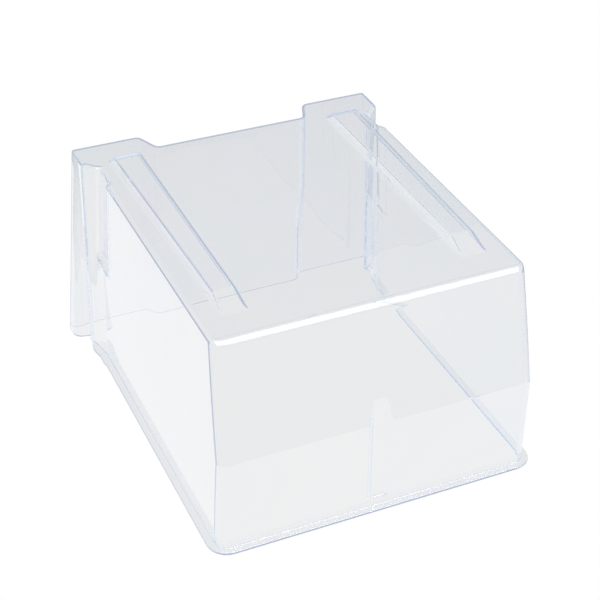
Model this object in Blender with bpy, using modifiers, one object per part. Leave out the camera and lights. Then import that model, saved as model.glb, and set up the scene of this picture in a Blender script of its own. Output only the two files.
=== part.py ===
# Stackable storage bin, clear injection-moulded plastic, standing rim-down
# (upside down).  Metres, +Z up, front towards -Y, right towards +X.
# The origin is in the rim plane, under the middle of the bounding box.
#
# The real bin is one moulding.  Here it is divided along its own natural
# lines (floor, front slope, front lower panel, side walls, grooves, rear
# posts, recessed rear wall, runners, rim) into separate solids that sit
# 0.3 mm apart.
import bpy
import bmesh
import math

# ------------------------------------------------------------ driving sizes
HEIGHT = 0.165          # rim plane to the flat of the floor
WALL = 0.0020           # moulded wall thickness
GAP = 0.0003            # clearance between neighbouring sections
HALF_GAP = GAP / 2.0

# Side walls, front wall and its vertical corners
SIDE_TOP = 0.1152       # half width at the floor
SIDE_RIM = 0.1210       # half width at the rim
SIDE_BULGE = 0.0010     # how far the side walls bow out at mid height
KINK_Z = 0.0755         # height of the front wall's bend line
FRONT_RIM, FRONT_KINK, FRONT_TOP = -0.1460, -0.14665, -0.1316     # front wall y
CORNER_RIM, CORNER_KINK, CORNER_TOP = 0.0100, 0.0066, 0.0100      # front corner radius

# Radius of the rounded floor edge
EDGE_FRONT = 0.0074
EDGE_SIDE = 0.0040
EDGE_REAR = 0.0018
EDGE_STEPS = 4          # segments from wall to floor
MIN_EDGE_RADIUS = 0.0005

# Rim flange
RIM_OUT = 0.0053        # how far it stands out
RIM_REAR_EXTRA = 0.0010  # extra from the groove to the band
RIM_THICK = 0.0022

# Rear posts, each with a rounded band in front of it.  Places are half
# widths or y; pairs of radii are (faded out, fully formed).
POST_REAR_TOP = 0.1479  # rear face, floor
POST_REAR_RIM = 0.1513  # rear face, rim
POST_OUT_TOP = 0.1238   # outer face of post and band, floor
POST_OUT_RIM = 0.1376   # outer face of the post, rim
BAND_OUT_RIM = 0.1268   # outer face of the band, rim
POST_FRONT = 0.1349     # front face of the flared half of the post
POST_FRONT_SHIFT = 0.0040   # it lies this much further back without a crease
BAND_FRONT = 0.1225     # front of the band
BAND_MIN_LENGTH = 0.0012    # flat of the band where there is no crease
BAND_TO_CREASE = 0.0034     # end of the flat to the full crease
CREASE_Y = 0.1319       # crease between band and post
CREASE_SHIFT = 0.0030   # it lies this much further forward where faded out
CREASE_DEPTH = 0.0018
CREASE_TOP = 0.115      # height where the crease runs out
CREASE_FADE = 0.060     # height over which it forms
BAND_FRONT_RADII = (0.0200, 0.0080)
BAND_REAR_RADIUS = 0.0080
CREASE_RADII = (0.0180, 0.0020)
POST_FRONT_RADII = (0.0300, 0.0120)
POST_REAR_RADIUS = 0.0020

# Rear wall: steps forward between the posts, with a sloping ledge below
STEP_OUT = 0.0693       # rear step, outer end (half width)
STEP_IN = 0.0611        # rear step, inner end (half width)
STEP_OUT_RADIUS = 0.0060
STEP_IN_RADIUS = 0.0050
RECESS_Y = 0.1273       # recessed rear wall
REAR_LOW_Y = 0.1411     # rear wall below the ledge
LEDGE_TOP = 0.0970
LEDGE_LOW = 0.0560
LEDGE_ROUNDING = 0.14   # share of the ledge that is rounded at each end

# Side grooves; pairs are (faded out, full depth)
GROOVE_DEPTH = 0.0035
GROOVE_FRONT = 0.0914   # front lip
GROOVE_REAR = 0.1129    # rear lip at the floor
GROOVE_REAR_DRIFT = 0.0040      # backward lean of the rear lip down to full depth
GROOVE_REAR_DRIFT_MAX = 0.0043
GROOVE_LOW = 0.0810     # where the groove runs out
GROOVE_FULL = 0.0890    # full depth above this
FRONT_LIP_Y = (GROOVE_FRONT - 0.0060, GROOVE_FRONT - 0.0035)
GROOVE_BED_FRONT_Y = (GROOVE_FRONT - 0.0015, GROOVE_FRONT + 0.0015)
GROOVE_BED_REAR_SETBACK = (0.0180, 0.0006)
FRONT_LIP_RADIUS = 0.0040
GROOVE_BED_FRONT_RADIUS = 0.0030
GROOVE_BED_REAR_RADII = (0.0200, 0.0020)

# Rear lip: merges into a straight run up to the band below the groove
REAR_LIP_LOW = 0.0500   # fully merged below this
REAR_LIP_LOW_Y = 0.1115
REAR_LIP_BAND_SHARE = 0.40      # merged lip: share of the way from side to band
REAR_LIP_OFFSET = 0.0006        # formed lip: behind the groove's rear edge
REAR_LIP_RADII = (0.0200, 0.0016)

# Front channel
CHANNEL_Y = -0.1435     # its floor
CHANNEL_HALF = 0.0044   # half width of its floor
CHANNEL_SLANT = 0.0018  # extra half width at its mouth
CHANNEL_FLARE = 0.0021  # further half width at the bend line
CHANNEL_LOW = 0.0070    # lower end
CHANNEL_FADE = 0.003    # height over which the lower end deepens
CHANNEL_RADIUS = 0.0016

# Runners; pairs are half widths of the top face at its (front, rear) end
RUN_H = 0.0062          # height above the floor
RUN_FRONT_FOOT = -0.1032
RUN_FRONT_TOP = -0.0861
RUN_REAR_TOP = 0.1129
RUN_REAR_FOOT = 0.1199
RUN_IN = (0.0808, 0.0798)
RUN_OUT = (0.0970, 0.1008)
RUN_DRAFT = 0.0012      # how much wider the foot is on each side
RUN_WALL = 0.0010       # wall thickness
SLOT_INSET_X = 0.0042   # floor slot, inside the runner's foot
SLOT_INSET_Y = SLOT_INSET_X + 0.003
SLOT_BELOW = 0.012      # reach of the slot cutter below the floor
SLOT_ABOVE = 0.004      # and above it

# Plan corners
SEG = 3                 # segments in each rounded corner
MIN_TANGENT = 0.0009    # keeps the corner points apart where a line is straight
MAX_TANGENT_SHARE = 0.46    # most of a straight edge that one corner may use
MIN_CORNER_RADIUS = 0.0006
PARALLEL_SINE = 0.02    # edges that turn less than this count as parallel
FRONT_CORNER = 3        # place of the front corner in control()
BAND_CORNER = 8         # place of the band's front corner in control()

# Dividing planes
Z_RIM = RIM_THICK
Z_FLOOR = HEIGHT - 0.0095
Z_BEND = KINK_Z + 0.0035
X_FRONT = 0.1030
Y_FRONT_RIM = -0.1320
Y_GROOVE = 0.0860
Y_POST = 0.1186
X_REAR = 0.0575
Z_REAR = 0.0510
CHANNEL_BOX_X = 0.0095
CHANNEL_BOX_Z = 0.0990

# Outer limits of the cutting boxes, clear of the bin
FAR = 0.30
MIDDLE_Y = 0.02         # inner limit of the front (-) and rear (+) boxes
RIM_BOX_X = 0.09        # inner limit of the side rim boxes
RIM_BOX_Z = 0.01        # reach of the rim boxes above and below the rim plane

# Heights of the wall rings; the first is below the rim plane, to be cut off
WALL_LEVELS = [
    -0.0008, CHANNEL_LOW, CHANNEL_LOW + CHANNEL_FADE, 0.030, LEDGE_LOW,
    0.0655, KINK_Z, GROOVE_LOW, 0.0837, 0.0864, GROOVE_FULL, LEDGE_TOP,
    0.1105, 0.1250, 0.1400, Z_FLOOR - 0.002,
]

PLASTIC_IOR = 1.49
PLASTIC_TRANSMISSION = 0.95
SHARP_ANGLE = math.radians(28)


# ------------------------------------------------------------ curves
def mix(a, b, t):
    return a + (b - a) * t


def smooth(t):
    t = max(0.0, min(1.0, t))
    return t * t * (3.0 - 2.0 * t)


def rounded_ramp(t):
    """A straight ramp from 0 to 1 with short rounded ends."""
    end = LEDGE_ROUNDING
    t = max(0.0, min(1.0, t))
    if t < end:
        value = t * t / (2.0 * end)
    elif t > 1.0 - end:
        value = 1.0 - end - (1.0 - t) ** 2 / (2.0 * end)
    else:
        value = t - end / 2.0
    return value / (1.0 - end)


def bent(at_rim, at_kink, at_top, z):
    """A value that runs straight from rim to bend line and on to the floor."""
    if z >= KINK_Z:
        return mix(at_kink, at_top, (z - KINK_Z) / (HEIGHT - KINK_Z))
    return mix(at_rim, at_kink, z / KINK_Z)


# ------------------------------------------------------------ plan outline
def control(z, rim=False):
    """Right half of the plan outline at height z: (x, y, radius) corners
    from the front centre to the rear centre.  rim=True gives the outer edge
    of the rim flange."""
    down = 1.0 - z / HEIGHT         # 0 at the floor, 1 at the rim
    flange = RIM_OUT if rim else 0.0
    flange_rear = RIM_OUT + RIM_REAR_EXTRA if rim else 0.0

    # Front wall and channel
    side = mix(SIDE_TOP, SIDE_RIM, down) + SIDE_BULGE * 4.0 * down * (1.0 - down)
    front = bent(FRONT_RIM, FRONT_KINK, FRONT_TOP, z) - flange
    front_radius = bent(CORNER_RIM, CORNER_KINK, CORNER_TOP, z) + flange
    depth = 0.0
    if z > CHANNEL_LOW and not rim:
        depth = max(0.0, CHANNEL_Y - front) * smooth((z - CHANNEL_LOW) / CHANNEL_FADE)
    full_depth = CHANNEL_Y - FRONT_KINK
    mouth = CHANNEL_HALF + CHANNEL_SLANT + CHANNEL_FLARE * depth / full_depth

    # Side groove: how far the groove and its rear lip are formed, 0 to 1
    groove = 0.0 if rim else smooth((z - GROOVE_LOW) / (GROOVE_FULL - GROOVE_LOW))
    lip = smooth((z - REAR_LIP_LOW) / (GROOVE_FULL - REAR_LIP_LOW))
    bed_x = side - GROOVE_DEPTH * groove + flange_rear
    groove_rear = GROOVE_REAR + GROOVE_REAR_DRIFT * (HEIGHT - z) / (HEIGHT - GROOVE_FULL)
    groove_rear = min(groove_rear, GROOVE_REAR + GROOVE_REAR_DRIFT_MAX)
    setback_faded, setback_full = GROOVE_BED_REAR_SETBACK

    # Band, crease and post
    band = mix(POST_OUT_TOP, BAND_OUT_RIM, down)
    post = mix(POST_OUT_TOP, POST_OUT_RIM, down)
    formed = smooth((CREASE_TOP - z) / CREASE_FADE)
    crease_x = band - CREASE_DEPTH * formed
    crease_y = CREASE_Y - CREASE_SHIFT * (1.0 - formed)
    post_front = POST_FRONT + POST_FRONT_SHIFT * (1.0 - formed)
    post_rear = mix(POST_REAR_TOP, POST_REAR_RIM, down)
    lip_x = mix(mix(side, band, REAR_LIP_BAND_SHARE), side, lip) + flange_rear

    # Rear wall
    low = 1.0 - rounded_ramp((z - LEDGE_LOW) / (LEDGE_TOP - LEDGE_LOW))
    rear_wall = mix(RECESS_Y, REAR_LOW_Y, low)
    return [
        (0.0, front + depth, 0.0),
        (CHANNEL_HALF, front + depth, CHANNEL_RADIUS),
        (mouth, front, CHANNEL_RADIUS),
        (side + flange, front, front_radius),
        (side + flange, mix(*FRONT_LIP_Y, groove), FRONT_LIP_RADIUS),
        (bed_x, mix(*GROOVE_BED_FRONT_Y, groove), GROOVE_BED_FRONT_RADIUS),
        (bed_x, mix(groove_rear - setback_faded, groove_rear - setback_full, groove),
         mix(*GROOVE_BED_REAR_RADII, groove)),
        (lip_x, mix(REAR_LIP_LOW_Y, groove_rear + REAR_LIP_OFFSET, lip),
         mix(*REAR_LIP_RADII, lip)),
        (band, BAND_FRONT, mix(*BAND_FRONT_RADII, lip)),
        (band, mix(BAND_FRONT + BAND_MIN_LENGTH, crease_y - BAND_TO_CREASE, formed),
         BAND_REAR_RADIUS),
        (crease_x, crease_y, mix(*CREASE_RADII, formed)),
        (post, post_front, mix(*POST_FRONT_RADII, formed)),
        (post, post_rear, POST_REAR_RADIUS),
        (STEP_OUT, post_rear, STEP_OUT_RADIUS),
        (STEP_IN, rear_wall, STEP_IN_RADIUS),
        (0.0, rear_wall, 0.0),
    ]


def inset(outline, dists):
    """Move every edge of the half outline inwards by its own distance."""
    lines = []      # point, direction and inward normal of each moved edge
    for (x0, y0, _), (x1, y1, _), dist in zip(outline, outline[1:], dists):
        dx, dy = x1 - x0, y1 - y0
        length = math.hypot(dx, dy)
        dx, dy = dx / length, dy / length
        lines.append((x0 - dy * dist, y0 + dx * dist, dx, dy, -dy, dx))

    moved = [(0.0, lines[0][1], 0.0)]
    for j in range(1, len(outline) - 1):
        x, y, radius = outline[j]
        ax, ay, adx, ady, anx, any_ = lines[j - 1]
        bx, by, bdx, bdy, bnx, bny = lines[j]
        turn = adx * bdy - ady * bdx
        if abs(turn) < PARALLEL_SINE:
            dist = 0.5 * (dists[j - 1] + dists[j])
            mx, my = anx + bnx, any_ + bny
            length = math.hypot(mx, my)
            moved.append((x + mx / length * dist, y + my / length * dist, radius))
        else:
            t = ((bx - ax) * bdy - (by - ay) * bdx) / turn
            dist = min(dists[j - 1], dists[j])
            new_radius = radius - dist if turn > 0 else radius + dist
            moved.append((ax + adx * t, ay + ady * t, max(new_radius, MIN_CORNER_RADIUS)))
    moved.append((0.0, lines[-1][1], 0.0))
    return moved


def rounded(outline):
    """Half outline with each corner replaced by an arc of SEG segments,
    drawn as a rational quadratic curve."""
    points = [outline[0][:2]]
    for before, (x, y, radius), after in zip(outline, outline[1:], outline[2:]):
        ax, ay = before[0] - x, before[1] - y
        bx, by = after[0] - x, after[1] - y
        len_a, len_b = math.hypot(ax, ay), math.hypot(bx, by)
        ax, ay, bx, by = ax / len_a, ay / len_a, bx / len_b, by / len_b
        cosine = max(-1.0, min(1.0, ax * bx + ay * by))
        turn = math.pi - math.acos(cosine)
        tangent = max(radius * math.tan(turn / 2.0), MIN_TANGENT)
        tangent = min(tangent, MAX_TANGENT_SHARE * len_a, MAX_TANGENT_SHARE * len_b)
        weight = math.cos(turn / 2.0)
        for k in range(SEG + 1):
            t = k / SEG
            w0, w1, w2 = (1 - t) ** 2, 2 * t * (1 - t) * weight, t * t
            total = w0 + w1 + w2
            points.append((
                (w0 * (x + ax * tangent) + w1 * x + w2 * (x + bx * tangent)) / total,
                (w0 * (y + ay * tangent) + w1 * y + w2 * (y + by * tangent)) / total))
    points.append(outline[-1][:2])
    return points


def full_loop(half):
    """Close the half outline with its mirror image, counter-clockwise."""
    return half + [(-x, *rest) for x, *rest in reversed(half[1:-1])]


def wall_ring(shape_z, z, rim=False, inner=False):
    """Full outline with the shape it has at shape_z, placed at height z."""
    outline = control(shape_z, rim)
    if inner:
        outline = inset(outline, [WALL] * (len(outline) - 1))
    return [(x, y, z) for x, y in full_loop(rounded(outline))]


def edge_ring(angle, inner=False):
    """One ring of the rounded floor edge; angle 0 is the wall, 90 degrees
    the floor.  The radius changes from the front to the sides and the rear."""
    wall = WALL if inner else 0.0
    inward, drop = 1.0 - math.cos(angle), 1.0 - math.sin(angle)

    def half_ring(front_edge, other_edge):
        """Height from the front edge radius, and the half outline there."""
        front = max(front_edge - wall, MIN_EDGE_RADIUS)
        other = max(other_edge - wall, MIN_EDGE_RADIUS)
        z = HEIGHT - wall - front * drop
        outline = control(z)
        dists = ([wall + front * inward] * FRONT_CORNER
                 + [wall + other * inward] * (len(outline) - 1 - FRONT_CORNER))
        return z, rounded(inset(outline, dists))

    front_z, front_half = half_ring(EDGE_FRONT, EDGE_SIDE)
    side_z, side_half = half_ring(EDGE_SIDE, EDGE_SIDE)
    rear_z, rear_half = half_ring(EDGE_REAR, EDGE_REAR)

    per_corner = SEG + 1
    before_front = 1 + (FRONT_CORNER - 1) * per_corner
    before_band = 1 + (BAND_CORNER - 1) * per_corner
    half = []
    for i, (front, side, rear) in enumerate(zip(front_half, side_half, rear_half)):
        to_front = smooth(1.0 - (i - before_front + 1) / per_corner)
        to_rear = smooth((i - before_band + 1) / per_corner)
        half.append(tuple(
            mix(mix(s, f, to_front), r, to_rear)
            for f, s, r in zip((*front, front_z), (*side, side_z), (*rear, rear_z))))
    return full_loop(half)


# ------------------------------------------------------------ Blender helpers
def loft(bm, rings, cap=False):
    """Join rings of points with quads; cap closes the last ring."""
    rows = [[bm.verts.new(p) for p in ring] for ring in rings]
    count = len(rows[0])
    for low, high in zip(rows, rows[1:]):
        for i in range(count):
            j = (i + 1) % count
            bm.faces.new((low[i], low[j], high[j], high[i]))
    if cap:
        bm.faces.new(rows[-1])
    return rows


def mesh_from(bm, name):
    bmesh.ops.recalc_face_normals(bm, faces=bm.faces)
    mesh = bpy.data.meshes.new(name)
    bm.to_mesh(mesh)
    bm.free()
    return mesh


def plastic(name, colour, roughness, alpha):
    material = bpy.data.materials.new(name)
    material.use_nodes = True
    inputs = material.node_tree.nodes["Principled BSDF"].inputs
    inputs["Base Color"].default_value = (*colour, 1.0)
    inputs["Roughness"].default_value = roughness
    inputs["Metallic"].default_value = 0.0
    inputs["IOR"].default_value = PLASTIC_IOR
    inputs["Transmission Weight"].default_value = PLASTIC_TRANSMISSION
    inputs["Alpha"].default_value = alpha
    material.diffuse_color = (*colour, alpha)
    return material


def add_part(name, mesh, material):
    part = bpy.data.objects.new(name, mesh)
    parts.objects.link(part)
    mesh.materials.append(material)
    return part


def add_cutter(name, mesh):
    cutter = bpy.data.objects.new(name, mesh)
    cutters.objects.link(cutter)
    cutter.hide_render = True
    cutter.display_type = 'WIRE'
    return cutter


def box_cutter(name, low, high):
    bm = bmesh.new()
    bmesh.ops.create_cube(bm, size=1.0)
    for vert in bm.verts:
        vert.co = [mix(a, b, c + 0.5) for a, b, c in zip(low, high, vert.co)]
    return add_cutter(name, mesh_from(bm, name))


def add_wall(part, thickness):
    modifier = part.modifiers.new("wall", 'SOLIDIFY')
    modifier.thickness = thickness
    modifier.offset = -1.0
    modifier.use_even_offset = True
    modifier.use_quality_normals = True


def boolean(part, cutter, operation):
    modifier = part.modifiers.new(cutter.name, 'BOOLEAN')
    modifier.operation = operation
    modifier.solver = 'EXACT'
    modifier.object = cutter


def keep_inside(part, low, high):
    """Keep only what lies in the box low..high."""
    boolean(part, box_cutter("zone_" + part.name, low, high), 'INTERSECT')


def side_span(side, inner, outer):
    """(low, high) x limits of a span given by its half widths."""
    return sorted((side * inner, side * outer))


# ------------------------------------------------------------ scene
for old in list(bpy.data.objects):
    bpy.data.objects.remove(old, do_unlink=True)

parts = bpy.data.collections.new("storage_bin")
cutters = bpy.data.collections.new("cutters")
bpy.context.scene.collection.children.link(parts)
bpy.context.scene.collection.children.link(cutters)

clear_floor = plastic("clear_floor", colour=(0.90, 0.92, 0.96), roughness=0.05, alpha=0.35)
clear_front = plastic("clear_front", colour=(0.93, 0.94, 0.97), roughness=0.05, alpha=0.30)
clear_side = plastic("clear_side", colour=(0.90, 0.92, 0.95), roughness=0.05, alpha=0.32)
clear_rear = plastic("clear_rear", colour=(0.92, 0.93, 0.95), roughness=0.06, alpha=0.32)
clear_post = plastic("clear_post", colour=(0.88, 0.90, 0.94), roughness=0.06, alpha=0.36)
clear_rib = plastic("clear_rib", colour=(0.82, 0.86, 0.95), roughness=0.05, alpha=0.40)
clear_rim = plastic("clear_rim", colour=(0.84, 0.88, 0.96), roughness=0.05, alpha=0.42)


# ------------------------------------------------------------ the bin shell
def shell_mesh():
    """The whole bin as one closed shell: outer loft, inner loft one wall
    thickness inside it, and the strip that joins them below the rim plane."""
    angles = [math.radians(90.0 / EDGE_STEPS * k) for k in range(EDGE_STEPS + 1)]
    bm = bmesh.new()
    outer, inner = [
        loft(bm, [wall_ring(max(z, 0.0), z, inner=is_inner) for z in WALL_LEVELS]
             + [edge_ring(angle, inner=is_inner) for angle in angles])
        for is_inner in (False, True)]
    bm.faces.new(outer[-1])
    bm.faces.new(inner[-1])
    count = len(outer[0])
    for i in range(count):
        j = (i + 1) % count
        bm.faces.new((outer[0][j], outer[0][i], inner[0][i], inner[0][j]))
    return mesh_from(bm, "bin_shell")


shell = shell_mesh()


def section(name, low, high, material, minus=()):
    """One section of the bin: the shell inside the box low..high."""
    part = add_part(name, shell.copy(), material)
    keep_inside(part, low, high)
    for cutter in minus:
        boolean(part, cutter, 'DIFFERENCE')


# ------------------------------------------------------------ runners
def runner_ring(side, z, drop):
    """Four-cornered outline of a runner; drop 0 is its top, 1 its foot."""
    draft = RUN_DRAFT * drop
    front = mix(RUN_FRONT_TOP, RUN_FRONT_FOOT, drop)
    rear = mix(RUN_REAR_TOP, RUN_REAR_FOOT, drop)

    def half_width(ends, y):
        return mix(*ends, (y - RUN_FRONT_TOP) / (RUN_REAR_TOP - RUN_FRONT_TOP))

    corners = [(half_width(RUN_IN, front) - draft, front),
               (half_width(RUN_OUT, front) + draft, front),
               (half_width(RUN_OUT, rear) + draft, rear),
               (half_width(RUN_IN, rear) - draft, rear)]
    if side < 0:
        corners = [(-x, y) for x, y in reversed(corners)]
    return [(x, y, z) for x, y in corners]


def runner(name, side):
    """Hollow rib, wider at the rear and ramped at both ends.  It starts
    below the floor and is cut off just above it."""
    bm = bmesh.new()
    loft(bm, [runner_ring(side, HEIGHT - 0.5 * RUN_H, 1.5),
              runner_ring(side, HEIGHT + RUN_H, 0.0)], cap=True)
    part = add_part(name, mesh_from(bm, name), clear_rib)
    add_wall(part, RUN_WALL)
    keep_inside(part, (-FAR, -FAR, HEIGHT + GAP), (FAR, FAR, FAR))


def runner_slot(name, side):
    """Cutter for the hollow under a runner, through the floor."""
    foot = runner_ring(side, 0.0, 1.0)
    ys = [y for _, y, _ in foot]
    centre_x = sum(x for x, _, _ in foot) / 4.0
    centre_y = (min(ys) + max(ys)) / 2.0

    def slot_ring(height):
        return [(x - math.copysign(SLOT_INSET_X, x - centre_x),
                 y - math.copysign(SLOT_INSET_Y, y - centre_y), height)
                for x, y, _ in foot]

    bm = bmesh.new()
    rows = loft(bm, [slot_ring(HEIGHT - SLOT_BELOW), slot_ring(HEIGHT + SLOT_ABOVE)],
                cap=True)
    bm.faces.new(list(reversed(rows[0])))
    return add_cutter(name, mesh_from(bm, name))


runner("left_runner", -1)
runner("right_runner", 1)
slots = (runner_slot("slot_left", -1), runner_slot("slot_right", 1))


# ------------------------------------------------------------ shell sections
def floor_section():
    """Floor with its rounded edges."""
    section("floor_panel", (-FAR, -FAR, Z_FLOOR + HALF_GAP), (FAR, FAR, FAR),
            clear_floor, minus=slots)


def front_sections():
    """Slope above the bend line, near-vertical panels below, and the
    shallow channel that crosses the bend in the middle."""
    around_channel = box_cutter(
        "zone_around_channel",
        (-CHANNEL_BOX_X - HALF_GAP, -FAR, -0.01),
        (CHANNEL_BOX_X + HALF_GAP, 0.0, CHANNEL_BOX_Z + HALF_GAP))
    section("front_slope_panel",
            (-X_FRONT + HALF_GAP, -FAR, Z_BEND + HALF_GAP),
            (X_FRONT - HALF_GAP, -MIDDLE_Y, Z_FLOOR - HALF_GAP),
            clear_front, minus=(around_channel,))
    section("front_channel",
            (-CHANNEL_BOX_X + HALF_GAP, -FAR, Z_RIM + GAP),
            (CHANNEL_BOX_X - HALF_GAP, -MIDDLE_Y, CHANNEL_BOX_Z - HALF_GAP),
            clear_front)
    for side, tag in ((-1, "left"), (1, "right")):
        x0, x1 = side_span(side, CHANNEL_BOX_X + HALF_GAP, X_FRONT - HALF_GAP)
        section("front_lower_panel_" + tag, (x0, -FAR, Z_RIM + GAP),
                (x1, -MIDDLE_Y, Z_BEND - HALF_GAP), clear_front)


def side_sections(side, tag):
    """Side wall, grooved section and rear post of one side."""
    top = Z_FLOOR - HALF_GAP
    x0, x1 = side_span(side, X_FRONT + HALF_GAP, FAR)
    section(tag + "_side_wall", (x0, -FAR, Z_RIM + GAP),
            (x1, Y_GROOVE - HALF_GAP, top), clear_side)
    x0, x1 = side_span(side, X_REAR + HALF_GAP, FAR)
    section(tag + "_side_groove", (x0, Y_GROOVE + HALF_GAP, Z_RIM + GAP),
            (x1, Y_POST - HALF_GAP, top), clear_side)
    section(tag + "_rear_post", (x0, Y_POST + HALF_GAP, 0.0), (x1, FAR, top), clear_post)


def rear_sections():
    """Rear wall between the posts."""
    half_width = X_REAR - HALF_GAP
    section("rear_recess_panel", (-half_width, MIDDLE_Y, Z_REAR + HALF_GAP),
            (half_width, FAR, Z_FLOOR - HALF_GAP), clear_rear)
    section("rear_lower_panel", (-half_width, MIDDLE_Y, 0.0),
            (half_width, FAR, Z_REAR - HALF_GAP), clear_rear)


floor_section()
front_sections()
side_sections(-1, "left")
side_sections(1, "right")
rear_sections()


# ------------------------------------------------------------ rim flange
def rim_mesh():
    """Flat sheet at the top of the flange, facing up, to be thickened down."""
    bm = bmesh.new()
    loft(bm, [wall_ring(0.0, RIM_THICK, rim=True), wall_ring(0.0, RIM_THICK, inner=True)])
    mesh = mesh_from(bm, "rim_sheet")
    if sum(face.normal.z for face in mesh.polygons) < 0:
        mesh.flip_normals()
    return mesh


rim_sheet = rim_mesh()


def rim_piece(name, x_span, y_span):
    part = add_part(name, rim_sheet.copy(), clear_rim)
    add_wall(part, RIM_THICK)
    keep_inside(part, (x_span[0], y_span[0], -RIM_BOX_Z), (x_span[1], y_span[1], RIM_BOX_Z))


side_rim_y = (Y_FRONT_RIM + HALF_GAP, Y_POST - HALF_GAP)
rim_piece("front_rim", (-FAR, FAR), (-FAR, Y_FRONT_RIM - HALF_GAP))
rim_piece("left_rim", (-FAR, -RIM_BOX_X), side_rim_y)
rim_piece("right_rim", (RIM_BOX_X, FAR), side_rim_y)

for part in parts.objects:
    part.data.shade_smooth()
    part.data.set_sharp_from_angle(angle=SHARP_ANGLE)
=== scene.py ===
"""A clear moulded plastic bin, upside down on a white table.

Metres.  The rim and its flange lie at z = 0, the bin's floor is the flat top
at z = H, and two runners stand on it.  The front faces -Y, the rear +Y, and
the bin is symmetrical about x = 0.  The wall's plan outline changes with
height, so the bin is built as rings stacked from the rim to the floor.
"""

import math

import bmesh
import bpy
from mathutils import Matrix, Vector
from mathutils.geometry import delaunay_2d_cdt


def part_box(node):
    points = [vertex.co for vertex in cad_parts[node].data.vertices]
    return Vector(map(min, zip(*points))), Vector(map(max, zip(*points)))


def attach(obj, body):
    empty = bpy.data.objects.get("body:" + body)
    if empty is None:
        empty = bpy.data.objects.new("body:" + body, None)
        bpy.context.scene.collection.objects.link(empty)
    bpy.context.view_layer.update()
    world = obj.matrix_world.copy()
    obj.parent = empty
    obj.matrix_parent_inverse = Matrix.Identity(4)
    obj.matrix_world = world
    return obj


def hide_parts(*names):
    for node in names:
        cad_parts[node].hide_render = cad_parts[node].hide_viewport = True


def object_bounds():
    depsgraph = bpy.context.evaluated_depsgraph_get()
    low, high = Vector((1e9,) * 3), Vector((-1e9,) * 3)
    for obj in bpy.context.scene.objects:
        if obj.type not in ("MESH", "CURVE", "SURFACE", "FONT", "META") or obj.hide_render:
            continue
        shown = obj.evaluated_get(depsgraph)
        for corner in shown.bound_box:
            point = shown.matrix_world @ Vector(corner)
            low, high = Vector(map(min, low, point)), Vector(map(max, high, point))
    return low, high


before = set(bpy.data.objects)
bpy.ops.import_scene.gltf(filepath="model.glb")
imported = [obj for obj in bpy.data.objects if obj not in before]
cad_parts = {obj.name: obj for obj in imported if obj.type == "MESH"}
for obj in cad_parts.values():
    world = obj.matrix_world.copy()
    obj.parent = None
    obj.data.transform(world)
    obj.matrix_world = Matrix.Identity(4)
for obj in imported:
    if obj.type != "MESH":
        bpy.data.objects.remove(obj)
cad_lo, cad_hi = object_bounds()

# ---------------------------------------------------------------- sizes
# RIM and TOP values are at z = 0 and z = H; the wall runs between them.
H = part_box("floor_panel")[1].z
WALL = 0.0020

# flange around the rim
FLANGE_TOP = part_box("front_rim")[1].z
FLANGE_OUT = 0.0053
FLANGE_ROUND = 0.0009                  # rounding of its outer edges
FLANGE_EDGE_DROP = 0.00006             # its upper rounding ends this far below the top
FLANGE_FILLET = 0.0013                 # fillet up into the wall
RIM_INNER_ROUND = 0.0006
FLANGE_PIECES, RIM_INNER_PIECES = 5, 3

# side and front walls
SIDE_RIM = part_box("front_rim")[1].x - FLANGE_OUT
SIDE_TOP = SIDE_RIM - 0.0058
SIDE_BULGE = 0.0010
FRONT_RIM = cad_lo.y + FLANGE_OUT
FRONT_KINK = FRONT_RIM - 0.00065
FRONT_TOP = FRONT_RIM + 0.0144
KINK_Z = 0.0755
CORNER_RIM, CORNER_KINK, CORNER_TOP = 0.0100, 0.0066, 0.0100     # front corner radii

# rounded edge around the floor
EDGE_FRONT, EDGE_SIDE, EDGE_REAR = 0.0074, 0.0040, 0.0018
EDGE_MIN = 0.0005
EDGE_PIECES = 9

# posts at the rear corners, and the band of wall in front of each
POST_REAR_RIM = cad_hi.y
POST_REAR_TOP = POST_REAR_RIM - 0.0034
POST_OUT_RIM = cad_hi.x
POST_OUT_TOP = POST_OUT_RIM - 0.0138
POST_FRONT = POST_REAR_RIM - 0.0164
POST_FRONT_SHIFT = 0.0040              # rearwards, where the crease has faded
BAND_OUT_RIM = POST_OUT_RIM - 0.0108
BAND_FRONT = POST_REAR_RIM - 0.0288
BAND_BLEND_LOW = 0.0500                # below this the side eases into the band

# upright crease between band and post, fading out upwards
CREASE_Y = POST_REAR_RIM - 0.0194
CREASE_DEPTH = 0.0018
CREASE_SHIFT = 0.0030                  # forwards, where it has faded
CREASE_TOP, CREASE_FADE = 0.115, 0.060

# recess in the rear wall between the posts, with an arched ledge across it
STEP_OUT, STEP_IN = 0.0693, 0.0611
RECESS_Y = POST_REAR_RIM - 0.0240      # above the ledge
REAR_LOW_Y = POST_REAR_RIM - 0.0102    # below the ledge
LEDGE_TOP, LEDGE_LOW = 0.0970, 0.0602
LEDGE_SAG, LEDGE_END_SAG = 0.0060, 0.0050
LEDGE_END_FROM, LEDGE_END_SPAN = 0.80, 0.20      # fractions of the half width
RAMP_ROUNDING = 0.14                   # share of the ledge's slope rounded at each end

# upright groove in the rear part of each side
GROOVE_DEPTH = 0.0035
GROOVE_Y0, GROOVE_Y1 = 0.0914, 0.1129
GROOVE_LOW, GROOVE_FULL = 0.0810, 0.0890         # it deepens between these heights
GROOVE_LEAN, GROOVE_LEAN_MAX = 0.0040, 0.0043    # its rear side leans back downwards

# upright channel in the middle of the front
CHANNEL_Y = FRONT_RIM + 0.0025
CHANNEL_HALF = 0.0044
CHANNEL_SIDE = 0.0018
CHANNEL_FLARE = 0.0021
CHANNEL_LOW, CHANNEL_RUNOUT = 0.0070, 0.003

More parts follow.
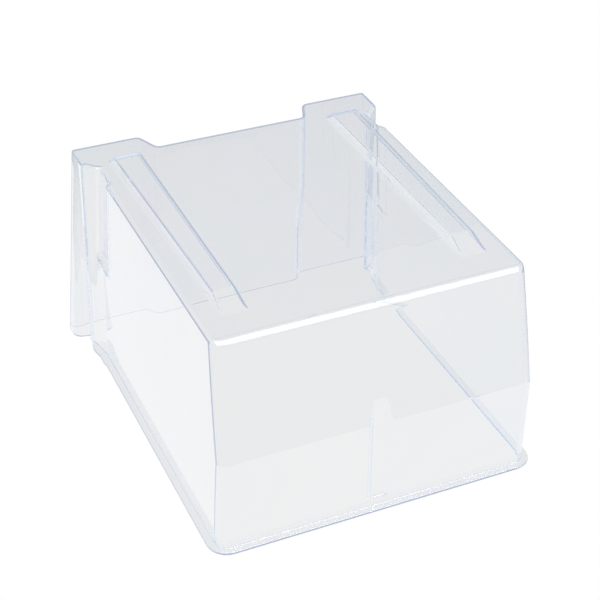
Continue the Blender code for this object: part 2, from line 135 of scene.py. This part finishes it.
# runners on the floor
RUN_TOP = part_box("left_runner")[1].z
RUN_H = RUN_TOP - H
RUN_FRONT_FOOT, RUN_FRONT_TOP = -0.1032, -0.0861
RUN_REAR_TOP, RUN_REAR_FOOT = 0.1129, 0.1199
RUN_IN_FRONT, RUN_OUT_FRONT = 0.0808, 0.0970
RUN_IN_REAR, RUN_OUT_REAR = 0.0798, 0.1008
RUN_DRAFT = 0.0012
RUN_WALL = 0.0010
RUN_CORNER = 0.0018
RUN_FOOT_ROUND = 0.0013
RUN_TOP_ROUND, RUN_TOP_ROUND_INNER = 0.0009, 0.0004
RUN_CORNER_PIECES, RUN_ROUND_PIECES = 5, 6

# plan outline
ARC_PIECES = 7
RECESS_PIECES = 14
MIN_TANGENT = 0.0007
MAX_TANGENT_SHARE = 0.46               # of the straight beside a corner
MIN_CORNER = 0.0006
FRONT_CORNER, BAND_CORNER = 3, 8       # places in the list from plan_corners


# ---------------------------------------------------------------- curves
def mix(a, b, t):
    return a + (b - a) * t


def smooth(t):
    t = max(0.0, min(1.0, t))
    return t * t * (3.0 - 2.0 * t)


def rounded_ramp(t):
    """A straight ramp from 0 to 1 with short rounded ends."""
    end = RAMP_ROUNDING
    t = max(0.0, min(1.0, t))
    if t < end:
        rise = t * t / (2.0 * end)
    elif t > 1.0 - end:
        rise = 1.0 - end - (1.0 - t) ** 2 / (2.0 * end)
    else:
        rise = t - end / 2.0
    return rise / (1.0 - end)


def arc_weights(turn, pieces):
    """Weights of an arc's start, corner and end at each step along it."""
    for step in range(pieces + 1):
        t = step / pieces
        yield (1 - t) ** 2, 2 * t * (1 - t) * math.cos(turn / 2), t * t


def quarter_round(pieces):
    """Pairs along a quarter circle: the first goes 0 to 1, the second 1 to 0."""
    angles = [math.radians(90.0 * step / pieces) for step in range(pieces + 1)]
    return [(1 - math.cos(angle), 1 - math.sin(angle)) for angle in angles]


# ---------------------------------------------------------------- plan outline
def kinked(z, at_rim, at_kink, at_top):
    if z >= KINK_Z:
        return mix(at_kink, at_top, (z - KINK_Z) / (H - KINK_Z))
    return mix(at_rim, at_kink, z / KINK_Z)


def recess_y(x, z):
    """Rear wall between the posts: upright, then a ledge whose lower edge is
    an arch with rounded ends, then upright again further back."""
    across = abs(x) / STEP_IN
    low_z = (LEDGE_LOW - LEDGE_SAG * across * across
             - LEDGE_END_SAG * smooth((across - LEDGE_END_FROM) / LEDGE_END_SPAN))
    return mix(REAR_LOW_Y, RECESS_Y, rounded_ramp((z - low_z) / (LEDGE_TOP - low_z)))


def plan_corners(z, rim=0.0):
    """Right half (+X) of the plan outline at height z, from the front centre
    to the rear centre.  rim 0 is the wall, 1 the flange's edge."""
    down = 1.0 - z / H
    out = FLANGE_OUT * rim
    rear_out = out + 0.0010 * rim
    side = mix(SIDE_TOP, SIDE_RIM, down) + SIDE_BULGE * 4.0 * down * (1.0 - down)
    front = kinked(z, FRONT_RIM, FRONT_KINK, FRONT_TOP) - out
    corner = kinked(z, CORNER_RIM, CORNER_KINK, CORNER_TOP) + out

    channel = 0.0
    if z > CHANNEL_LOW:
        channel = max(0.0, CHANNEL_Y - front) * smooth((z - CHANNEL_LOW) / CHANNEL_RUNOUT)
    flare = CHANNEL_FLARE * channel / (CHANNEL_Y - FRONT_KINK)
    mouth = CHANNEL_HALF + CHANNEL_SIDE + flare

    # strengths from 0 to 1: groove, band parted from the side, crease
    groove = smooth((z - GROOVE_LOW) / (GROOVE_FULL - GROOVE_LOW))
    parted = smooth((z - BAND_BLEND_LOW) / (GROOVE_FULL - BAND_BLEND_LOW))
    crease = smooth((CREASE_TOP - z) / CREASE_FADE)

    groove_x = side - GROOVE_DEPTH * groove + rear_out
    groove_rear = GROOVE_Y1 + GROOVE_LEAN * (H - z) / (H - GROOVE_FULL)
    groove_rear = min(groove_rear, GROOVE_Y1 + GROOVE_LEAN_MAX)
    band = mix(POST_OUT_TOP, BAND_OUT_RIM, down)
    post = mix(POST_OUT_TOP, POST_OUT_RIM, down)
    crease_y = CREASE_Y - CREASE_SHIFT * (1.0 - crease)
    post_front = POST_FRONT + POST_FRONT_SHIFT * (1.0 - crease)
    rear = mix(POST_REAR_TOP, POST_REAR_RIM, down)
    recess = recess_y(STEP_IN, z)
    # x, y, corner radius
    return [
        # channel and front corner
        (0.0, front + channel, 0.0),
        (CHANNEL_HALF, front + channel, 0.0016),
        (mouth, front, 0.0016),
        (side + out, front, corner),
        # groove
        (side + out, mix(GROOVE_Y0 - 0.0060, GROOVE_Y0 - 0.0035, groove), 0.0040),
        (groove_x, mix(GROOVE_Y0 - 0.0015, GROOVE_Y0 + 0.0015, groove), 0.0030),
        (groove_x, mix(groove_rear - 0.0180, groove_rear - 0.0006, groove),
         mix(0.0200, 0.0020, groove)),
        (mix(mix(side, band, 0.40), side, parted) + rear_out,
         mix(0.1115, groove_rear + 0.0006, parted), mix(0.0200, 0.0016, parted)),
        # band and crease
        (band, BAND_FRONT, mix(0.0200, 0.0080, parted)),
        (band, mix(BAND_FRONT + 0.0012, crease_y - 0.0034, crease), 0.0080),
        (band - CREASE_DEPTH * crease, crease_y, mix(0.0180, 0.0020, crease)),
        # post and recess
        (post, post_front, mix(0.0300, 0.0120, crease)),
        (post, rear, 0.0020),
        (STEP_OUT, rear, 0.0060),
        (STEP_IN, recess, 0.0050),
        (0.0, recess, 0.0),
    ]


def inset(corners, distances):
    """Move each edge of a half outline inwards by its own distance."""
    lines = []
    for (x0, y0, _), (x1, y1, _), distance in zip(corners, corners[1:], distances):
        length = math.hypot(x1 - x0, y1 - y0)
        dx, dy = (x1 - x0) / length, (y1 - y0) / length
        lines.append((x0 - dy * distance, y0 + dx * distance, dx, dy))
    moved = [(0.0, lines[0][1], 0.0)]
    for j, (x, y, radius) in enumerate(corners[1:-1]):
        ax, ay, adx, ady = lines[j]
        bx, by, bdx, bdy = lines[j + 1]
        cross = adx * bdy - ady * bdx
        if abs(cross) < 0.02:          # nearly straight on: no safe intersection
            distance = 0.5 * (distances[j] + distances[j + 1])
            nx, ny = -ady - bdy, adx + bdx
            length = math.hypot(nx, ny)
            moved.append((x + nx / length * distance, y + ny / length * distance, radius))
        else:
            along = ((bx - ax) * bdy - (by - ay) * bdx) / cross
            distance = min(distances[j], distances[j + 1])
            radius = radius - distance if cross > 0 else radius + distance
            moved.append((ax + adx * along, ay + ady * along, max(radius, MIN_CORNER)))
    moved.append((0.0, lines[-1][1], 0.0))
    return moved


def rounded(corners, z):
    """Half outline with arcs at its corners; its rear end follows the ledge."""
    points = [corners[0][:2]]
    for j in range(1, len(corners) - 1):
        x, y, radius = corners[j]
        ax, ay = corners[j - 1][0] - x, corners[j - 1][1] - y
        bx, by = corners[j + 1][0] - x, corners[j + 1][1] - y
        a_length, b_length = math.hypot(ax, ay), math.hypot(bx, by)
        ax, ay, bx, by = ax / a_length, ay / a_length, bx / b_length, by / b_length
        turn = math.pi - math.acos(max(-1.0, min(1.0, ax * bx + ay * by)))
        tangent = max(radius * math.tan(turn / 2.0), MIN_TANGENT)
        tangent = min(tangent, MAX_TANGENT_SHARE * a_length, MAX_TANGENT_SHARE * b_length)
        for start, middle, end in arc_weights(turn, ARC_PIECES):
            total = start + middle + end
            points.append((
                (start * (x + ax * tangent) + middle * x + end * (x + bx * tangent)) / total,
                (start * (y + ay * tangent) + middle * y + end * (y + by * tangent)) / total))
    x_end, y_end = points[-1]
    y_step = recess_y(STEP_IN, z)
    for k in range(1, RECESS_PIECES + 1):
        x = x_end * (1.0 - k / RECESS_PIECES)
        points.append((x, y_end + recess_y(x, z) - y_step))
    return points


# ---------------------------------------------------------------- wall rings
def full_loop(half):
    return half + [(-p[0], *p[1:]) for p in reversed(half[1:-1])]


def wall_ring(z, rim=0.0, height=None, offset=0.0):
    """Ring with the outline of height z, laid at another height if given."""
    corners = plan_corners(z, rim)
    if offset:
        corners = inset(corners, [offset] * (len(corners) - 1))
    ring_z = z if height is None else height
    return [(x, y, ring_z) for x, y in full_loop(rounded(corners, z))]


def edge_rings(offset):
    """Rings of the rounded floor edge, from the wall to the floor.  The
    radius changes from the front to the sides and on to the rear."""
    per_corner = ARC_PIECES + 1
    front_end = 1 + (FRONT_CORNER - 1) * per_corner
    band_start = 1 + (BAND_CORNER - 1) * per_corner
    rings = []
    for rise, fall in quarter_round(EDGE_PIECES):
        halves = []
        for radii in ((EDGE_FRONT, EDGE_SIDE), (EDGE_SIDE, EDGE_SIDE), (EDGE_REAR, EDGE_REAR)):
            front, rest = (max(radius - offset, EDGE_MIN) for radius in radii)
            z = H - offset - front * fall
            corners = plan_corners(z)
            distances = [offset + front * rise] * FRONT_CORNER
            distances += [offset + rest * rise] * (len(corners) - 1 - FRONT_CORNER)
            halves.append([(x, y, z) for x, y in rounded(inset(corners, distances), z)])
        half = []
        for i, (front, side, rear) in enumerate(zip(*halves)):
            to_front = smooth(1.0 - (i - front_end + 1) / per_corner)
            to_rear = smooth((i - band_start + 1) / per_corner)
            half.append(tuple(mix(mix(s, f, to_front), r, to_rear)
                              for f, s, r in zip(front, side, rear)))
        rings.append(full_loop(half))
    return rings


def wall_heights():
    """Heights of the plain wall rings, closer at the groove, kink and channel."""
    heights, z = [], 0.0105
    while z < H - 0.0100:
        heights.append(z)
        z += 0.0010 if GROOVE_LOW - 0.001 < z < GROOVE_FULL + 0.001 else 0.0035
    heights = [z for z in heights if abs(z - KINK_Z) > 0.0014]
    heights += [KINK_Z + step for step in (-0.0006, -0.0002, 0.0002, 0.0006)]
    heights += [CHANNEL_LOW + step for step in (-0.001, 0.0, 0.0008, 0.0016, 0.0024)]
    return sorted(heights)


def outer_rings():
    rows = []                          # height, how far out over the flange
    turns = quarter_round(FLANGE_PIECES)
    for rise, fall in turns:           # lower edge rounding
        rows.append((FLANGE_ROUND * rise, 1.0 - FLANGE_ROUND * fall / FLANGE_OUT))
    for rise, fall in turns:           # upper edge rounding
        rows.append((FLANGE_TOP - FLANGE_EDGE_DROP - FLANGE_ROUND * fall,
                     1.0 - FLANGE_ROUND * rise / FLANGE_OUT))
    for rise, fall in turns:           # fillet up into the wall
        rows.append((FLANGE_TOP + FLANGE_FILLET * rise, FLANGE_FILLET * fall / FLANGE_OUT))
    rings = [wall_ring(0.0, rim=rim, height=height) for height, rim in rows]
    return rings + [wall_ring(z) for z in wall_heights()] + edge_rings(0.0)


def inner_rings():
    rings = [wall_ring(0.0, height=RIM_INNER_ROUND * rise, offset=WALL - RIM_INNER_ROUND * fall)
             for rise, fall in quarter_round(RIM_INNER_PIECES)]
    return rings + [wall_ring(z, offset=WALL) for z in wall_heights()] + edge_rings(WALL)


# ---------------------------------------------------------------- runners
def runner_outline(side, drop, grow):
    """Plan outline of a runner; drop 0 is its top, 1 its foot; grow widens it."""
    def edge_x(front, rear, y):
        return mix(front, rear, (y - RUN_FRONT_TOP) / (RUN_REAR_TOP - RUN_FRONT_TOP))

    wider = RUN_DRAFT * drop + grow
    front = mix(RUN_FRONT_TOP, RUN_FRONT_FOOT, drop) - grow
    rear = mix(RUN_REAR_TOP, RUN_REAR_FOOT, drop) + grow
    corners = [Vector(p) for p in (
        (edge_x(RUN_IN_FRONT, RUN_IN_REAR, front) - wider, front),
        (edge_x(RUN_OUT_FRONT, RUN_OUT_REAR, front) + wider, front),
        (edge_x(RUN_OUT_FRONT, RUN_OUT_REAR, rear) + wider, rear),
        (edge_x(RUN_IN_FRONT, RUN_IN_REAR, rear) - wider, rear))]
    radius = max(RUN_CORNER + grow, MIN_CORNER)
    points = []
    for j, corner in enumerate(corners):
        back = (corners[j - 1] - corner).normalized()
        ahead = (corners[(j + 1) % 4] - corner).normalized()
        turn = math.pi - back.angle(ahead)
        tangent = radius * math.tan(turn / 2)
        for start, middle, end in arc_weights(turn, RUN_CORNER_PIECES):
            point = ((corner + back * tangent) * start + corner * middle
                     + (corner + ahead * tangent) * end)
            points.append(point / (start + middle + end))
    if side < 0:
        points = [Vector((-p.x, p.y)) for p in reversed(points)]
    return points


def runner_rings(side, inner):
    """Rings from the floor up to the runner's top face."""
    thickness = RUN_WALL if inner else 0.0
    base = H - (WALL if inner else 0.0)
    top = RUN_TOP - thickness
    foot_round = RUN_FOOT_ROUND + thickness
    top_round = RUN_TOP_ROUND_INNER if inner else RUN_TOP_ROUND
    turns = quarter_round(RUN_ROUND_PIECES)
    rows = [(base + foot_round * rise, -thickness + foot_round * fall) for rise, fall in turns]
    rows += [(top - top_round * fall, -thickness - top_round * rise) for rise, fall in turns]
    return [[(p.x, p.y, z) for p in runner_outline(side, 1.0 - (z - base) / RUN_H, grow)]
            for z, grow in rows]


# ---------------------------------------------------------------- bin mesh
def strip(bm, lower, upper, flip=False):
    for i in range(len(lower)):
        j = (i + 1) % len(lower)
        face = (lower[i], lower[j], upper[j], upper[i])
        bm.faces.new(face[::-1] if flip else face)


def skin(bm, rings, flip):
    """Join a stack of rings with faces; returns their vertices."""
    rows = [[bm.verts.new(p) for p in ring] for ring in rings]
    for lower, upper in zip(rows, rows[1:]):
        strip(bm, lower, upper, flip)
    return rows


def within(x, y, loop):
    hit = False
    for k, p in enumerate(loop):
        q = loop[k - 1]
        if (p.y > y) != (q.y > y) and x < (q.x - p.x) * (y - p.y) / (q.y - p.y) + p.x:
            hit = not hit
    return hit


def cap_with_holes(bm, outer, holes, up):
    """Triangles across a flat face between its outline and the runners."""
    loops = [outer, *holes]
    # in millimetres, to suit the triangulation's tolerance
    flat = [[Vector((v.co.x * 1000.0, v.co.y * 1000.0)) for v in loop] for loop in loops]
    verts, edges = [v for loop in loops for v in loop], []
    for loop in loops:
        first = len(edges)
        edges += [(first + k, first + (k + 1) % len(loop)) for k in range(len(loop))]
    points, _, triangles, source, _, _ = delaunay_2d_cdt(
        [p for loop in flat for p in loop], edges, [], 0, 1e-6)
    for triangle in triangles:
        middle = sum((points[i] for i in triangle), Vector((0.0, 0.0))) / 3
        in_hole = any(within(middle.x, middle.y, hole) for hole in flat[1:])
        if in_hole or not within(middle.x, middle.y, flat[0]):
            continue
        a, b, c = (verts[source[i][0]] for i in triangle)
        if ((b.co - a.co).cross(c.co - a.co).z > 0) != up:
            a, b = b, a
        bm.faces.new((a, b, c))


def bin_mesh():
    bm = bmesh.new()
    outer = skin(bm, outer_rings(), flip=False)
    inner = skin(bm, inner_rings(), flip=True)
    strip(bm, inner[0], outer[0])      # underside of the rim
    for is_inner, rows in ((False, outer), (True, inner)):
        holes = []
        for side in (-1, 1):
            runner = skin(bm, runner_rings(side, is_inner), flip=is_inner)
            top = bm.faces.new(runner[-1])
            if is_inner:
                top.normal_flip()
            holes.append(runner[0])
        cap_with_holes(bm, rows[-1], holes, up=not is_inner)
    bmesh.ops.recalc_face_normals(bm, faces=bm.faces)
    mesh = bpy.data.meshes.new("bin_moulding")
    bm.to_mesh(mesh)
    bm.free()
    return mesh


# ---------------------------------------------------------------- shader helpers
def bare_tree(owner):
    owner.use_nodes = True
    owner.node_tree.nodes.clear()
    return owner.node_tree


def add(tree, kind, inputs, **settings):
    """Add a shader node; an input given as a socket is linked, others are set."""
    made = tree.nodes.new("ShaderNode" + kind)
    for name, value in settings.items():
        setattr(made, name, value)
    for name, value in inputs.items():
        if isinstance(value, bpy.types.NodeSocket):
            tree.links.new(value, made.inputs[name])
        else:
            made.inputs[name].default_value = value
    return made


def math_node(tree, operation, first, second, **settings):
    made = add(tree, "Math", {0: first, 1: second}, operation=operation, **settings)
    return made.outputs["Value"]


def mix_color(tree, factor, a, b, blend='MIX'):
    made = add(tree, "Mix", {"Factor": factor, "A": a, "B": b},
               data_type='RGBA', blend_type=blend)
    return made.outputs["Result"]


def grey(value):
    return (value, value, value, 1)


# ---------------------------------------------------------------- clear plastic
# Painted glow for light caught between the faces: reflections inside the
# plastic deeper than the first count glow until the second.
CAUGHT_AFTER = 1.5
CAUGHT_UNTIL = 8.5

# place along the noise, colour
STRESS_HUES = [
    (0.30, (1.0, 1.0, 1.0)), (0.38, (0.995, 0.997, 1.0)),
    (0.44, (1.0, 0.998, 0.992)), (0.50, (0.986, 1.0, 0.995)),
    (0.56, (0.996, 0.991, 1.0)), (0.62, (0.985, 0.995, 1.0)),
    (0.70, (1.0, 1.0, 0.995)),
]


def stress_color(tree, place):
    """Faint colour fringes from moulding stress: hues along a slow noise."""
    noise = add(tree, "TexNoise", {"Vector": place, "Scale": 6.0, "Detail": 1.5})
    ramp = add(tree, "ValToRGB", {"Fac": noise.outputs["Fac"]})
    ramp.color_ramp.interpolation = 'EASE'
    stops = ramp.color_ramp.elements
    stops.remove(stops[-1])
    for index, (position, color) in enumerate(STRESS_HUES):
        stop = stops.new(position) if index else stops[0]
        stop.position = position
        stop.color = (*color, 1)
    return mix_color(tree, 1.0, ramp.outputs["Color"], (0.985, 0.989, 0.995, 1), 'MULTIPLY')


def clear_plastic():
    """Refracting plastic, slightly blue through its thickness, with a barely
    rippled surface and a painted glow for light caught inside it."""
    material = bpy.data.materials.new("clear_plastic")
    tree = bare_tree(material)
    position = add(tree, "NewGeometry", {}).outputs["Position"]
    place = add(tree, "Mapping", {"Vector": position, "Scale": (1.0, 1.0, 1.6)}).outputs["Vector"]

    # painted glow and shade: light caught for many reflections glows pale blue,
    # tinted darker with each reflection, instead of dying away to black
    path = add(tree, "LightPath", {}).outputs
    inside = math_node(tree, 'SUBTRACT', path["Is Glossy Ray"], path["Is Transmission Ray"])
    deep = math_node(tree, 'GREATER_THAN', path["Ray Depth"], CAUGHT_AFTER)
    caught = math_node(tree, 'MULTIPLY', inside, deep, use_clamp=True)
    few = math_node(tree, 'LESS_THAN', path["Glossy Depth"], CAUGHT_UNTIL)
    glow = math_node(tree, 'MULTIPLY', caught, few, use_clamp=True)
    # painted shade: the caught light's tint darkens from pale to deep blue as the reflections add
    # up
    span = add(tree, "MapRange",
               {"Value": path["Glossy Depth"], "From Min": 1.0, "From Max": 8.0})
    painted_shade_tint = mix_color(tree, span.outputs["Result"], (0.80, 0.84, 0.88, 1), (0.15, 0.18, 0.24, 1))
    color = mix_color(tree, caught, stress_color(tree, place), painted_shade_tint, 'MULTIPLY')

    # painted light: a stronger glow low on the flange, which lies on the lit table, keeps it
    # paler than the rest
    height = add(tree, "SeparateXYZ", {"Vector": position})
    low = add(tree, "MapRange", {"Value": height.outputs["Z"],
                                 "From Min": 0.0025, "From Max": 0.0060,
                                 "To Min": 1.2, "To Max": 1.0})
    glow = math_node(tree, 'MULTIPLY', glow, low.outputs["Result"])

    # slow ripple from mould filling
    ripple = add(tree, "TexNoise", {"Vector": place, "Scale": 28.0, "Detail": 1.0})
    bump = add(tree, "Bump", {"Strength": 0.06, "Distance": 0.0006,
                              "Height": ripple.outputs["Fac"]})

    surface = add(tree, "BsdfPrincipled", {
        "Base Color": color,
        "Transmission Weight": 1.0,
        "IOR": 1.52,
        "Roughness": 0.012,
        # painted glow colour for light caught inside the plastic
        "Emission Color": (0.070, 0.076, 0.088, 1),
        "Emission Strength": glow,
        "Normal": bump.outputs["Normal"]})
    volume = add(tree, "VolumeAbsorption", {"Color": (0.45, 0.62, 1.0, 1), "Density": 4.0})
    add(tree, "OutputMaterial", {"Surface": surface.outputs["BSDF"],
                                 "Volume": volume.outputs["Volume"]})
    return material


def build_bin():
    mesh = bin_mesh()
    moulding = bpy.data.objects.new("bin_moulding", mesh)
    bpy.context.scene.collection.objects.link(moulding)
    mesh.materials.append(clear_plastic())
    mesh.shade_smooth()
    mesh.set_sharp_from_angle(angle=math.radians(40))
    normals = moulding.modifiers.new("normals", 'WEIGHTED_NORMAL')
    normals.mode = 'FACE_AREA'
    normals.keep_sharp = True
    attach(moulding, "root")
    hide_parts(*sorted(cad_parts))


# ---------------------------------------------------------------- stage
# edges of the table top; the bin stands nearer its front and left edges
TABLE_LEFT, TABLE_RIGHT, TABLE_FRONT, TABLE_BACK = -0.225, 0.26, -0.31, 0.60
TABLE_Z = -0.0002
WHITE = grey(1.0)
# painted shade: table and room seen through the bin are greyer, for the light the bin keeps off
# them
PAINTED_SHADE_THROUGH_BIN = grey(0.872)              # table and room as seen through the bin


def table_material():
    """Plain white table, glowing evenly to the camera.  What is seen of it
    through the bin is painted a shade greyer, standing in for the shade the bin
    casts by keeping some light off it; in reflections it is a touch brighter."""
    material = bpy.data.materials.new("table")
    tree = bare_tree(material)
    path = add(tree, "LightPath", {}).outputs
    color = mix_color(tree, path["Is Transmission Ray"], grey(1.04), PAINTED_SHADE_THROUGH_BIN)
    color = mix_color(tree, path["Is Camera Ray"], color, WHITE)
    glow = add(tree, "Emission", {"Color": color})
    add(tree, "OutputMaterial", {"Surface": glow.outputs["Emission"]})
    return material


def build_table():
    mesh = bpy.data.meshes.new("table")
    mesh.from_pydata([(TABLE_LEFT, TABLE_FRONT, TABLE_Z), (TABLE_RIGHT, TABLE_FRONT, TABLE_Z),
                      (TABLE_RIGHT, TABLE_BACK, TABLE_Z), (TABLE_LEFT, TABLE_BACK, TABLE_Z)],
                     [], [(0, 1, 2, 3)])
    table = bpy.data.objects.new("table", mesh)
    mesh.materials.append(table_material())
    bpy.context.scene.collection.objects.link(table)


def add_overhead_light():
    location, target = Vector((0.0, -0.75, 1.5)), Vector((0, -0.15, 0.1))
    light = bpy.data.lights.new("overhead", 'AREA')
    light.shape = 'RECTANGLE'
    light.size, light.size_y = 3.0, 1.3
    light.energy = 58
    lamp = bpy.data.objects.new("overhead", light)
    lamp.location = location
    lamp.rotation_euler = (target - location).to_track_quat('-Z', 'Y').to_euler()
    lamp.visible_transmission = False
    bpy.context.scene.collection.objects.link(lamp)


def build_world():
    """White to the camera, dark in reflections, bright low down through the bin."""
    world = bpy.data.worlds.new("studio")
    bpy.context.scene.world = world
    tree = bare_tree(world)
    path = add(tree, "LightPath", {}).outputs
    direction = add(tree, "TexCoord", {}).outputs["Generated"]
    up = add(tree, "SeparateXYZ", {"Vector": direction}).outputs["Z"]
    high = add(tree, "MapRange", {"Value": up, "From Min": 0.05, "From Max": 0.40},
               interpolation_type='SMOOTHSTEP').outputs["Result"]
    mirrored = mix_color(tree, high, (0.20, 0.23, 0.28, 1), (0.12, 0.14, 0.17, 1))
    through = mix_color(tree, high, (0.95, 0.97, 1.0, 1), (0.34, 0.40, 0.52, 1))
    # below the horizon the room seen through the bin gets the table's painted
    # shade, so the table's edge doesn't show through the walls
    above = math_node(tree, 'GREATER_THAN', up, 0.0)
    through = mix_color(tree, above, PAINTED_SHADE_THROUGH_BIN, through)
    color = mix_color(tree, path["Is Transmission Ray"], mirrored, through)
    color = mix_color(tree, path["Is Camera Ray"], color, WHITE)
    background = add(tree, "Background", {"Color": color})
    add(tree, "OutputWorld", {"Surface": background.outputs["Background"]})


def add_camera():
    """Camera to the front left, looking down at the bin."""
    yaw, pitch, roll = (math.radians(angle) for angle in (24.005, 34.569, -0.424))
    forward = Vector((math.sin(yaw) * math.cos(pitch), math.cos(yaw) * math.cos(pitch),
                      -math.sin(pitch)))
    level = Vector((math.cos(yaw), -math.sin(yaw), 0.0))
    below = forward.cross(level)
    right = level * math.cos(roll) + below * math.sin(roll)
    down = -level * math.sin(roll) + below * math.cos(roll)
    data = bpy.data.cameras.new("camera")
    data.sensor_width = 36.0
    data.sensor_fit = 'HORIZONTAL'
    data.lens = 91.58724
    data.clip_start, data.clip_end = 0.01, 50.0
    camera = bpy.data.objects.new("camera", data)
    camera.location = (-0.38058, FRONT_RIM - 0.71599, 0.73424)
    camera.rotation_mode = 'QUATERNION'
    axes = Matrix((right, -down, -forward)).transposed()
    camera.rotation_quaternion = axes.to_4x4().to_quaternion()
    bpy.context.scene.collection.objects.link(camera)
    bpy.context.scene.camera = camera


def set_render():
    scene = bpy.context.scene
    scene.view_settings.view_transform = 'Standard'
    cycles = scene.cycles
    cycles.max_bounces = 32
    cycles.transmission_bounces = 28
    cycles.glossy_bounces = 10
    cycles.transparent_max_bounces = 16
    cycles.caustics_reflective = True
    cycles.caustics_refractive = True
    cycles.use_denoising = True


build_bin()
build_table()
add_overhead_light()
build_world()
add_camera()
set_render()
